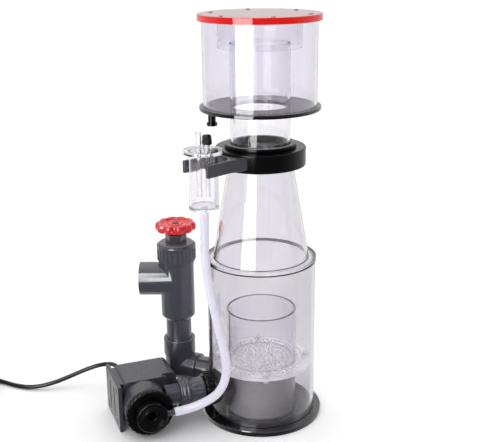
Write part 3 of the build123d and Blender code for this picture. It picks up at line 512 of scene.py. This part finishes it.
def ribs(count, depth, sharpness):
    """Narrow ridges round a piece, with shallow hollows of one depth between them."""
    return lambda angle: -depth * (1 - abs(cos(count * angle / 2)) ** sharpness)


def notches(count, depth, sharpness):
    """Narrow grooves round a piece."""
    return lambda angle: -depth * abs(cos(count * angle / 2)) ** sharpness


# ---------------------------------------------------------------- the valve's pieces
RISER = axis_at("riser_pipe")
LOBES, LOBE_DEPTH, LOBE_SHARPNESS, FIRST_VALLEY = 10, 3.6, 1.4, radians(18)
HEX_CORNER = 14.2


def lobes(angle):
    """The handwheel's round lobes, which it is held by."""
    valley = (1 + cos(LOBES * (angle - FIRST_VALLEY))) / 2
    return -LOBE_DEPTH * valley ** LOBE_SHARPNESS


def hexagon(angle):
    """How far a hexagon's side lies inside the circle through its corners."""
    sixth = pi / 3
    return HEX_CORNER * (cos(sixth / 2) / cos(angle % sixth - sixth / 2) - 1)


stands_for(turned("gate_handwheel", [
    (4.05, 238.6), (9.5, 238.6), (10.5, 241.6), (18.0, 241.6, 0.1), (20.0, 239.2, 0.5), (24.0, 238.6, 0.9),
    (27.0, 241.0, 1), (27.0, 247.0, 1), (24.6, 250.4, 0.9), (21.0, 250.0, 0.4), (17.5, 246.6), (9.4, 246.2),
    (7.6, 248.4), (4.05, 248.4)], RISER, red_moulded, lobes, 240, 1.6), "handwheel")
stands_for(turned("valve_collar_nut", [
    (21.5, 194.6), (24.0, 194.6), (24.4, 197.6), (26.0, 198.8, 1), (26.0, 214.4, 1), (26.1, 216.0),
    (26.1, 219.0), (25.0, 220.4), (23.2, 220.4), (23.2, 210.6), (21.5, 210.6)],
    RISER, pvc, ribs(28, 1.1, 5), 336), "valve_union_nut")
stands_for(turned("stem_packing_nut", [
    (4.1, 222.6), (13.4, 222.6, 0.9), (14.2, 223.4, 1), (14.2, 233.4, 1), (13.2, 234.4, 0.8), (9.0, 234.5),
    (9.0, 236.0), (8.4, 236.4), (4.1, 236.4)], RISER, pvc, hexagon, 180, 0.4), "packing_nut")

# ---------------------------------------------------------------- the pump's line
INLET_RISE = 27.5 * MM                          # from the bulkhead's lowest point up to its axis
INLET = lying(UP * (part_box("inlet_bulkhead")[0].z + INLET_RISE), -INWARD, FRONT)
PUMP = lying(PUMP_ORIGIN, FRONT, INWARD)
stands_for(turned("wall_nut", [
    (15.1, 70.5), (21.6, 70.5), (22.7, 71.8, 1), (22.7, 81.2, 1), (21.4, 82.4, 0.4), (15.1, 82.4)],
    INLET, black_moulded, ribs(20, 1.4, 3), 240), "bulkhead_nut")
stands_for(turned("coupler_nut", [
    (13.1, 83.1), (16.4, 83.1), (17.1, 84.6, 1), (17.1, 99.0, 1), (16.6, 101.0), (16.6, 103.9),
    (13.1, 103.9)], INLET, pvc, notches(18, 0.6, 4), 216), "pump_coupler")
stands_for(turned("union_nut", [
    (12.9, 104.1), (18.4, 104.1), (19.4, 105.2), (19.4, 107.2), (18.7, 107.8), (18.7, 109.4), (20.2, 110.2),
    (20.2, 112.4), (19.2, 113.2), (19.0, 116.2), (18.0, 116.9), (12.9, 116.9)],
    INLET, pvc, None, 160), "pump_union")
stands_for(turned("pump_ring", [
    (20.8, 12.4), (29.4, 12.4), (31.1, 13.6, 1), (31.1, 19.2, 1), (29.6, 21.0, 0.3), (20.8, 21.0)],
    PUMP, black_moulded, notches(24, 1.0, 10), 384), "volute_lock_ring")
stands_for(turned("strainer_cover", [
    (6.0, 9.2), (20.8, 9.2), (20.8, 12.0), (20.2, 12.1), (20.2, 32.2), (19.2, 33.4),
    (15.9, 33.4), (15.2, 32.6), (14.8, 29.6), (9.4, 28.0), (8.6, 28.8), (6.7, 28.8), (6.0, 27.6)],
    PUMP, black_moulded, None, 160), "intake_cover")
stands_for(turned("air_knob", [
    (3.4, 380.5), (5.7, 380.5), (5.95, 381.4, 1), (5.35, 389.8, 1), (4.5, 391.4), (0, 391.5), (0, 386.6),
    (3.4, 386.6)], axis_at("air_cap"), black_moulded, ribs(16, 0.35, 2), 160, 0.4), "air_cap")

for sharp_node, edge_width, finish, edge_cuts in (
        ("silencer_bracket", 2.2, fork_plastic, 4), ("pump_foot", 0.7, pump_plastic, 2),
        ("pump_housing", 1.0, pump_plastic, 2), ("volute", 0.8, pump_plastic, 2),
        ("neck_collar", 0.9, collar_black, 3), ("cup_lock_ring", 0.9, collar_black, 3),
        ("valve_tee", 0.6, pvc, 2), ("outlet_elbow", 0.6, pvc, 2)):
    softened(sharp_node, edge_width, finish, edge_cuts)

# ---------------------------------------------------------------- cords
HOSE_R, CORD_R = 5.5 * MM, 3.0 * MM
HOSE_POINTS = [(-111.0, -73.1, 33.0), (-97.0, -68.6, 33.6), (-80.0, -67.5, 40.0), (-65.0, -71.5, 50.0),
               (-53.5, -77.0, 63.0), (-46.0, -81.0, 79.5), (-43.0, -83.0, 99.0), (-45.5, -82.5, 121.0),
               (-51.0, -81.0, 147.0), (-57.0, -79.0, 173.5), (-62.5, -76.5, 201.0), (-66.5, -73.8, 229.0),
               (-68.0, -71.3, 255.0), (-67.3, -70.0, 278.0), (-67.0, -70.0, 300.0)]
LEAD_POINTS = [(-195.9, 28.1, 39.0), (-202.1, 43.8, 38.8), (-213.0, 57.0, 36.0), (-230.0, 64.0, 31.0),
               (-251.0, 63.0, 24.0), (-274.0, 57.0, 15.5), (-299.0, 50.0, 8.0), (-325.0, 47.5, 3.6),
               (-351.0, 54.5, 3.0), (-377.0, 69.5, 3.0), (-406.0, 82.7, 3.0)]
TAIL_POINTS = [(-427.0, 4.1, 15.4), (-413.1, -1.5, 14.2), (-401.6, -11.1, 11.4), (-393.7, -23.8, 9.0),
               (-390.1, -38.4, 8.0)]
COIL_CENTRE, COIL_MIDDLE, STRAND = (-418.5, 44.0), 31.5, 6.2
COIL_START, COIL_TURNS, COIL_STEPS, SHIFT_FROM = 72.0, 7.5, 16, 0.7
FLOOR_LAYER = 3.0


def metres(points):
    """Points in millimetres, as vectors in metres."""
    return [Vector(p) * MM for p in points]


def coil_points():
    """Three rows inwards on the floor, three outwards on top of them, then round the outside.
    Each turn moves to its next row or layer over its last part."""
    columns = [1, 0, -1, -1, 0, 1, 1, 1]
    layers = [0, 0, 0, 1, 1, 1, 2, 2]
    points = []
    for step in range(1, int(COIL_TURNS * COIL_STEPS) + 1):
        turn = step / COIL_STEPS
        here = min(int(turn), len(columns) - 2)
        along = max(0.0, (turn - here - SHIFT_FROM) / (1 - SHIFT_FROM))
        ease = along * along * (3 - 2 * along)
        column = columns[here] + (columns[here + 1] - columns[here]) * ease
        layer = layers[here] + (layers[here + 1] - layers[here]) * ease
        reach = COIL_MIDDLE + STRAND * column
        angle = radians(COIL_START) + 2 * pi * turn
        points.append((COIL_CENTRE[0] + reach * cos(angle), COIL_CENTRE[1] + reach * sin(angle),
                       FLOOR_LAYER + STRAND * layer))
    return points


def cord_curve(name, points, radius, finish):
    """A round cord along a smooth curve that its points guide."""
    curve = bpy.data.curves.new(name, "CURVE")
    curve.dimensions = "3D"
    curve.bevel_depth = radius
    curve.bevel_resolution = 6
    curve.use_fill_caps = True
    curve.resolution_u = 6
    spline = curve.splines.new("NURBS")
    spline.points.add(len(points) - 1)
    for point, spot in zip(spline.points, points):
        point.co = (*spot, 1)
    spline.order_u = 3
    spline.use_endpoint_u = True
    curve.materials.append(finish)
    made = bpy.data.objects.new(name, curve)
    bpy.context.scene.collection.objects.link(made)
    return made


GLAND_RIBS, GLAND_FIRST, GLAND_STEP = 6, 4.0, 2.8
GLAND_REACH, GLAND_TAPER, GLAND_DEPTH = 5.6, 0.28, 1.1


def relief_outline():
    """The tapering ribs of the moulded strain relief."""
    points = [(0, 0), (6.4, 0), (6.4, 3.0)]
    for rib in range(GLAND_RIBS):
        start, reach = GLAND_FIRST + rib * GLAND_STEP, GLAND_REACH - GLAND_TAPER * rib
        valley = reach - GLAND_DEPTH
        points += [(valley, start - 0.6), (reach, start), (reach, start + 1.3), (valley, start + 1.6)]
    return points + [(3.9, 21.8), (0, 21.9)]


def lofted(name, sections, place, finish, steps=64):
    """A closed body through sections of (height, half width, half thickness, squareness)."""
    shape = bmesh.new()
    rows = []
    for height, half, thick, square in sections:
        row = []
        for step in range(steps):
            angle = 2 * pi * step / steps
            across, up = cos(angle), sin(angle)
            spread = (abs(across) ** square + abs(up) ** square) ** (-1 / square)
            row.append(shape.verts.new((half * across * spread * MM, thick * up * spread * MM, height * MM)))
        rows.append(row)
    skin(shape, rows)
    shape.faces.new(rows[0])
    shape.faces.new(rows[-1])
    return finished(name, shape, finish, place)


GLAND_SPOT = PUMP_ORIGIN - INWARD * 12 * MM + UP * 6 * MM - FRONT * 76 * MM
relief = turned("cord_relief", relief_outline(), lying(GLAND_SPOT, -FRONT, INWARD), jacket, None, 64, 0.3)
stands_for(relief, "cable_gland")

PLUG_WAY = Vector((2.5, -14.8, 0)).normalized()
plug_place = lying(Vector(TAIL_POINTS[-1]) * MM, PLUG_WAY, UP.cross(PLUG_WAY))
PLUG_RIBS, PLUG_RIB_FIRST, PLUG_RIB_STEP, PLUG_RIB_REACH, PLUG_FLARE = 5, 2.6, 3.4, 4.0, 0.36
plug_sections = [(0.0, 3.4, 3.4, 2), (0.6, 3.7, 3.7, 2)]
for rib in range(PLUG_RIBS):
    height, reach = PLUG_RIB_FIRST + PLUG_RIB_STEP * rib, PLUG_RIB_REACH + PLUG_FLARE * rib
    for above, further in ((0.0, 0.0), (1.5, 0.2), (1.7, -0.7), (3.1, -0.6)):
        plug_sections.append((height + above, reach + further, reach + further, 2))
plug_sections += [(21.6, 5.6, 5.4, 2.2), (24.0, 8.2, 5.8, 2.8), (30.0, 9.0, 6.0, 3.2),
                  (34.0, 12.0, 6.7, 3.6), (38.0, 12.9, 6.95, 4.0), (55.6, 12.9, 6.95, 4.0),
                  (56.6, 12.5, 6.6, 4.0), (57.0, 11.8, 6.0, 4.0)]
plug = lofted("plug_body", plug_sections, plug_place, jacket)
stands_for(plug, "power_plug")
PIN_OUT, PIN_START, PIN_END = 9.5, 56.5, 75.8
PIN_OUTLINE = [(0, PIN_START), (2.0, PIN_START), (2.0, PIN_END - 1), (1.2, PIN_END), (0, PIN_END)]
for side, aside in (("left", -PIN_OUT), ("right", PIN_OUT)):
    pin_place = plug_place @ Matrix.Translation((aside * MM, 0, 0))
    pin = turned("plug_pin_" + side, PIN_OUTLINE, pin_place, nickel, None, 32, 0.4)
    stands_for(pin, "power_plug")

hose = cord_curve("hose", metres(HOSE_POINTS), HOSE_R, silicone)
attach(hose, "base")
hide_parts("air_hose")

lead = cord_curve("lead", metres(LEAD_POINTS + coil_points() + TAIL_POINTS), CORD_R, jacket)
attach(lead, "base")
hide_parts("power_cord", "cord_coil")

make_camera()
make_studio()
